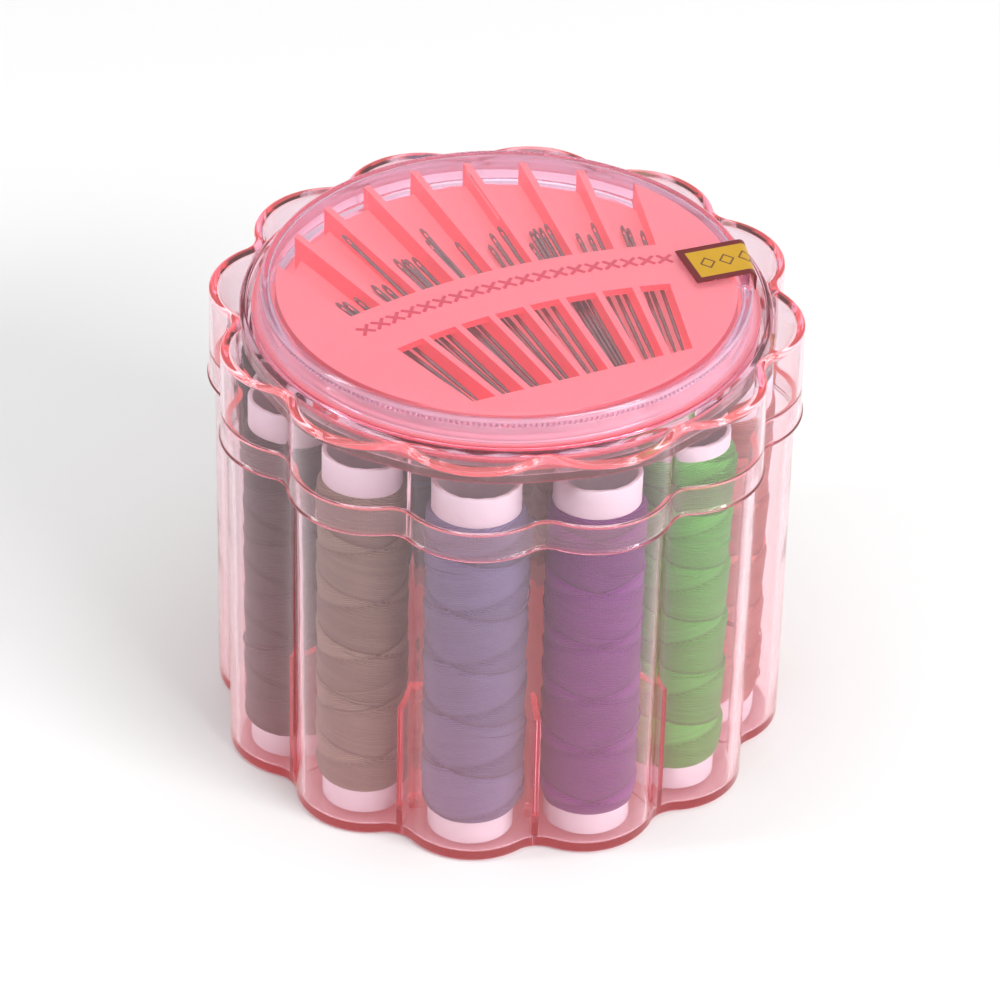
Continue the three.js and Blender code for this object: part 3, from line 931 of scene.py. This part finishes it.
def label_material():
    """Yellow print with a dark red border and a row of lozenges."""
    material, tree, shader = principled("label_print", (0.68, 0.36, 0.0), 0.32)
    uv = separated(tree, node(tree, "ShaderNodeUVMap", uv_map="print").outputs["UV"])
    from_middle = calc(tree, "ABSOLUTE", uv[1])
    edge = calc(tree, "MINIMUM", calc(tree, "SUBTRACT", LABEL_WIDTH / 2, from_middle), uv[0])
    border = calc(tree, "LESS_THAN", edge, LABEL_BORDER)
    along = calc(tree, "DIVIDE", calc(tree, "SUBTRACT", uv[0], LOZENGE_START), LOZENGE_PITCH)
    cell = calc(tree, "ABSOLUTE", calc(tree, "SUBTRACT", calc(tree, "FRACT", along), 0.5))
    lozenge = calc(tree, "ADD", calc(tree, "MULTIPLY", cell, 2.0),
                   calc(tree, "DIVIDE", from_middle, LOZENGE_HALF_HEIGHT))
    off_line = calc(tree, "ABSOLUTE", calc(tree, "SUBTRACT", lozenge, LOZENGE_REACH))
    ring = calc(tree, "LESS_THAN", off_line, LOZENGE_LINE)
    ring = calc(tree, "MULTIPLY", ring, calc(tree, "GREATER_THAN", uv[0], LOZENGE_START))
    field = blend_colors(tree, noise(tree, 300), (0.50, 0.27, 0.0), (0.60, 0.33, 0.008))
    inked = blend_colors(tree, ring, field, (0.16, 0.06, 0.01))
    tree.links.new(blend_colors(tree, border, inked, (0.14, 0.003, 0.006)), shader.inputs["Base Color"])
    bump(tree, shader, noise(tree, 500), distance=0.00008, strength=0.4)
    return material


# Spools

def spool_axis(name):
    low, high = BOXES[f"tube_{name}"]
    return ((low + high) / 2).xy


def shingle(layers):
    """How far each layer's edge stands out: it rises slowly along the layer and drops quickly to the next."""
    part = layers % 1
    return np.minimum(part / (1 - SHINGLE_DROP), (1 - part) / SHINGLE_DROP)


def wound_thread(name, seed):
    """Cross-wound thread: two families of helical layers, shingled, and a few stray strands."""
    low, high = BOXES[f"thread_{name}"]
    tube_low, tube_high = BOXES[f"tube_{name}"]
    outer = (high.x - low.x) / 2 / MM
    inner = (tube_high.x - tube_low.x) / 2 / MM + THREAD_GAP
    bottom = low.z / MM
    top = high.z / MM
    rng = np.random.default_rng(seed)
    starts = rng.random(2)
    angle = around(THREAD_AROUND)
    height = np.linspace(0, top - bottom, THREAD_ROWS)
    spin, rise = np.meshgrid(angle / (2 * math.pi), height / WIND_PITCH)
    rising = rise - spin + starts[0]
    falling = rise + spin + starts[1]
    radius = outer - 2 * WIND_STEP - FUZZ + WIND_STEP * (shingle(rising) + shingle(falling))
    radius += FUZZ * rng.random(radius.shape)
    from_end = np.minimum(height, height[::-1])[:, None]
    radius -= END_ROUNDING * np.exp(-from_end / END_ROUNDING_HEIGHT)
    rings = [circle(radius[k], bottom + z, angle) for k, z in enumerate(height)]
    floor = [circle(inner, bottom, angle)]
    ceiling = [circle(inner, top, angle)]
    wound = loft(floor + rings + ceiling, closed=True)
    strays = [stray_strand(rng, outer - 0.1, bottom + 2, top - 2) for _ in range(STRAY_STRANDS)]
    points, faces = join_meshes([wound, *strays])
    piece = mesh_object(f"wound_{name}", np.array(points) + (*spool_axis(name) / MM, 0), faces, sharp=75)
    strand_map(piece, starts)
    return piece


def stray_strand(rng, radius, low, high):
    """A loose strand that crosses the winding at its own slant, sinking in at both ends."""
    t = np.linspace(0, 1, STRAY_STEPS)
    sweep = (0.6 + 0.5 * rng.random()) * math.pi
    angle = 2 * math.pi * rng.random() + sweep * t
    slant = rng.choice([-1, 1]) * WIND_PITCH * (0.7 + 0.5 * rng.random())
    height = low + (high - low) * rng.random() + slant * sweep / (2 * math.pi) * t
    height = np.clip(height, low, high)
    reach = radius - STRAY_SINK * (2 * t - 1) ** 8
    path = np.column_stack([reach * np.cos(angle), reach * np.sin(angle), height])
    along = np.gradient(path, axis=0)
    along /= np.linalg.norm(along, axis=1)[:, None]
    out = np.column_stack([np.cos(angle), np.sin(angle), np.zeros(STRAY_STEPS)])
    side = np.cross(along, out)
    rings = []
    for k in range(STRAY_STEPS):
        spokes = [math.cos(a) * out[k] + math.sin(a) * side[k] for a in around(6)]
        rings.append(path[k] + STRAY_RADIUS * np.array(spokes))
    return loft(rings[::-1])


def strand_map(piece, starts):
    """A UV map, strands, across (u, in strands) and along (v) the strands of whichever layer lies on top, and
    a second, layers, with each layer's shade (u: alternate layers painted lighter, a painted sheen from the
    way their strands run, with a random part) and the painted shadow beside its edge (v).
    """
    strands = np.zeros((len(piece.data.loops), 2), np.float32)
    layers = np.tile(np.array([1, 0], np.float32), (len(piece.data.loops), 1))
    row, column = np.divmod(np.arange((THREAD_ROWS - 1) * THREAD_AROUND), THREAD_AROUND)
    spin = (column[:, None] + [0, 1, 1, 0]) / THREAD_AROUND
    low, high = (v / MM for v in (piece.bound_box[0][2], piece.bound_box[1][2]))
    rise = (row[:, None] + [0, 0, 1, 1]) / (THREAD_ROWS - 1) * (high - low) / WIND_PITCH
    rising = rise - spin + starts[0]
    falling = rise + spin + starts[1]
    crossing = (np.floor(rising.mean(1)) + np.floor(falling.mean(1))).astype(int)
    over = (crossing % 2 == 1)[:, None]
    across = np.where(over, rising, falling) * STRANDS_PER_PITCH
    along = np.where(over, spin, -spin) * STRAND_MAP_TURN
    own = np.random.default_rng(crossing.max()).random(crossing.max() + 1)
    # Alternate layers lighter: a painted sheen from the way their strands run; the rest is a random tone per
    # layer.
    shades = 0.6 * (np.arange(crossing.max() + 1) % 2) + 0.4 * own
    # Painted shadow beside each layer's edge.
    shadow = np.exp(-np.minimum(rising % 1, falling % 1) / SHADOW_WIDTH)
    first = 4 * THREAD_AROUND
    wound = slice(first, first + across.size)
    strands[wound] = np.column_stack([across.ravel(), along.ravel()])
    layers[wound] = np.column_stack([np.repeat(shades[crossing], 4), shadow.ravel()])
    for name, data in (("strands", strands), ("layers", layers)):
        piece.data.uv_layers.new(name=name).data.foreach_set("uv", data.ravel())


def thread_material(name, color):
    """Spun thread: round, twisted strands, each a little lighter or darker than the next; painted shade too.
    """
    material, tree, shader = principled(f"thread_{name}", color, 0.6, Sheen_Weight=0.1, Sheen_Roughness=0.35)
    uv = separated(tree, node(tree, "ShaderNodeUVMap", uv_map="strands").outputs["UV"])
    across = calc(tree, "FRACT", uv[0])
    roundness = calc(tree, "POWER", calc(tree, "SINE", calc(tree, "MULTIPLY", across, math.pi)), 0.6)
    turns = calc(tree, "ADD", calc(tree, "MULTIPLY", uv[1], 16.0), calc(tree, "MULTIPLY", across, 5.0))
    twist = calc(tree, "SINE", turns)
    relief = calc(tree, "ADD", roundness, calc(tree, "MULTIPLY", twist, 0.12))
    bump(tree, shader, relief, distance=0.0002)
    each = node(tree, "ShaderNodeTexWhiteNoise", noise_dimensions="1D")
    tree.links.new(calc(tree, "FLOOR", uv[0]), each.inputs["W"])
    layer, shadow = separated(tree, node(tree, "ShaderNodeUVMap", uv_map="layers").outputs["UV"])[:2]
    # Shade: a random tone for each strand and a cloud of tone, with painted light and shade: darker at each
    # strand's edges (roundness), alternate layers lighter (a painted sheen from the way their strands run) and
    # a painted shadow beside each layer's edge.
    shade = calc(tree, "MULTIPLY", each.outputs["Value"], 0.135)
    cloud = noise(tree, 260, detail=2.0)
    for part, share in ((cloud, 0.165), (roundness, 0.38), (layer, 0.4), (shadow, -0.5)):
        shade = calc(tree, "ADD", shade, calc(tree, "MULTIPLY", part, share))
    dark = tuple(c * THREAD_DARK for c in color)
    light = tuple(min(1.0, c * THREAD_LIGHT) for c in color)
    tree.links.new(blend_colors(tree, shade, dark, light), shader.inputs["Base Color"])
    return material


def paper_tube(name):
    """A tube of wound card, its rim a little ragged; CRUMPLED tubes are pushed in on one side of the rim."""
    low, high = BOXES[f"tube_{name}"]
    outer = (high.x - low.x) / 2 / MM
    bottom = low.z / MM
    top = high.z / MM
    inner = outer - TUBE_WALL
    heights = [top - TUBE_RINGED * k / TUBE_RINGS for k in range(TUBE_RINGS, 0, -1)]
    outside = [(outer, z, 0) for z in heights]
    inside = [(inner, z, 0) for z in heights[::-1]]
    profile = rounded([(inner, bottom, 0.2), (outer, bottom, 0.2), *outside,
                       (outer, top, 0.25), (inner, top, 0.25), *inside])
    points, faces = turned(profile, 128)
    bearing = np.arctan2(points[:, 1], points[:, 0])
    rim = np.clip(1 - (top - points[:, 2]) / 1.5, 0, 1)
    points[:, 2] -= rim * (RIM_RAGGED + RIM_RAGGED * np.sin(5 * bearing + 1) * np.sin(11 * bearing))
    if name in CRUMPLED:
        away = (bearing - math.radians(CRUMPLED[name]) + math.pi) % (2 * math.pi) - math.pi
        near = np.exp(-(away / DENT_HALF_WIDTH) ** 2)
        depth = np.clip(1 - (top - points[:, 2]) / DENT_DEPTH, 0, 1) ** 1.5
        points[:, :2] *= (1 - DENT_IN * near * depth)[:, None]
        points[:, 2] -= DENT_DROP * near * depth ** 2
    points += (*spool_axis(name) / MM, 0)
    return mesh_object(f"card_{name}", points, faces)


def card_material():
    """White paper card, a little mottled, with the relief of its fibre."""
    material, tree, shader = principled("tube_card", (0.92, 0.93, 0.99), 0.75)
    fibre = noise(tree, 700, detail=4.0, roughness=0.6, stretch=(1, 1, 3))
    mottle = blend_colors(tree, noise(tree, 120), (0.88, 0.88, 0.96), (0.95, 0.96, 1.0))
    tree.links.new(mottle, shader.inputs["Base Color"])
    bump(tree, shader, fibre, distance=0.00012, strength=0.5)
    return material


# Needles

def needle_ends(name):
    """Point and eye of a CAD needle, in mm. The eye's end is the one with more corners near it."""
    corners = np.array([v.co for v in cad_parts[name].data.vertices]) / MM
    middle = corners.mean(0)
    axis = np.linalg.svd(corners - middle)[2][0]
    along = (corners - middle) @ axis
    ends = [corners[np.abs(along - limit).argmin()] for limit in (along.min(), along.max())]
    near_low = (np.abs(along - along.min()) < 1).sum()
    near_high = (np.abs(along - along.max()) < 1).sum()
    point, eye = ends if near_low < near_high else ends[::-1]
    return point, eye


def needle(name):
    point, eye = needle_ends(name)
    run = eye - point
    length = np.linalg.norm(run)
    profile = NEEDLE_POINT + [(NEEDLE_RADIUS * part, length - short) for part, short in NEEDLE_EYE]
    piece = mesh_object(f"steel_{name}", *turned(profile, 16))
    half = EYE_HALF_WIDTH
    slot = prism([(-half, -1), (half, -1), (half, 1), (-half, 1)], length - EYE_SPAN[0], length - EYE_SPAN[1])
    boolean(piece, [slot], "DIFFERENCE")
    finish_shading(piece, 50)
    turn = Vector((0, 0, 1)).rotation_difference(Vector(run))
    piece.data.transform(Matrix.Translation(Vector(point) * MM) @ turn.to_matrix().to_4x4())
    return piece


def steel_material():
    material, tree, shader = principled("needle_steel", (0.60, 0.57, 0.54), 0.25, Metallic=1.0)
    tint = blend_colors(tree, noise(tree, 300), (0.22, 0.19, 0.17), (0.50, 0.46, 0.42))
    tree.links.new(tint, shader.inputs["Base Color"])
    bump(tree, shader, noise(tree, 4000, detail=2.0), distance=0.00002, strength=0.5)
    return material


# Assembly

def build():
    pink = clear_plastic("clear_pink", body=(1.0, 0.95, 0.97), absorbed=(2, 38, 22), clear=0.985,
                         glow=(1.0, 0.12, 0.12))
    # The lilac paints a lighter band on the cover's side, standing in for reflections there.
    lilac = clear_plastic("clear_lilac", body=(0.98, 0.94, 1.0), absorbed=(8, 35, 15), clear=0.985,
                          glow=(1.0, 0.30, 0.42), reflection_color=(0.92, 0.72, 0.88))
    place(cup(), "box", "clear_pink", pink, "cup")
    place(lid(), "lid", "clear_pink", pink, "lid")
    place(disc(), "compact", "salmon_plastic", salmon_material(), "needle_disc")
    place(stitches(), "compact", "salmon_plastic", stitch_material())
    place(cover(), "cover", "clear_lilac", lilac, "compact_cover")
    place(label(), "cover", "label_print", label_material(), "seal_label")
    card = card_material()
    steel = steel_material()
    for seed, (name, color) in enumerate(SPOOLS.items()):
        body = f"spool_{name}"
        thread = f"thread_{name}"
        place(wound_thread(name, seed), body, thread, thread_material(name, color), thread)
        place(paper_tube(name), body, "tube_card", card, f"tube_{name}")
    for name in sorted(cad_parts):
        if name.startswith("needle_") and name != "needle_disc":
            place(needle(name), "compact", "needle_steel", steel, name)


# Studio

def camera():
    data = bpy.data.cameras.new("camera")
    data.lens = CAMERA_LENS
    data.clip_start = 0.01
    data.clip_end = 100
    obj = bpy.data.objects.new("camera", data)
    bpy.context.scene.collection.objects.link(obj)
    azimuth = math.radians(CAMERA_AZIMUTH)
    elevation = math.radians(CAMERA_ELEVATION)
    level = math.cos(elevation)
    obj.location = CAMERA_DISTANCE * Vector((math.sin(azimuth) * level, -math.cos(azimuth) * level,
                                             math.sin(elevation)))
    look = (Vector(CAMERA_AIM) - obj.location).to_track_quat("-Z", "Y")
    roll = Matrix.Rotation(math.radians(-CAMERA_ROLL), 3, "Z").to_quaternion()
    obj.rotation_euler = (look @ roll).to_euler()
    bpy.context.scene.camera = obj


def softbox(name, location, size, power):
    data = bpy.data.lights.new(name, "AREA")
    data.shape = "RECTANGLE"
    data.size, data.size_y = size
    data.energy = power
    obj = bpy.data.objects.new(name, data)
    obj.location = location
    obj.rotation_euler = (Vector(SOFTBOX_AIM) - Vector(location)).to_track_quat("-Z", "Y").to_euler()
    bpy.context.scene.collection.objects.link(obj)


def studio():
    world = bpy.data.worlds.new("studio")
    world.use_nodes = True
    background = world.node_tree.nodes["Background"]
    background.inputs["Color"].default_value = (1, 1, 1, 1)
    background.inputs["Strength"].default_value = WORLD_STRENGTH
    scene = bpy.context.scene
    scene.world = world
    scene.view_settings.view_transform = "Standard"
    scene.cycles.max_bounces = LIGHT_BOUNCES
    scene.cycles.transmission_bounces = LIGHT_BOUNCES
    for name, (location, size, power) in SOFTBOXES.items():
        softbox(name, location, size, power)
    side = FLOOR_HALF_WIDTH
    floor = mesh_object("floor", [(-side, -side, 0), (side, -side, 0), (side, side, 0), (-side, side, 0)],
                        [[0, 1, 2, 3]])
    floor.location.z = -FLOOR_DROP * MM
    floor.data.materials.append(principled("floor_paper", FLOOR_COLOR, 0.9)[0])


camera()
build()
studio()
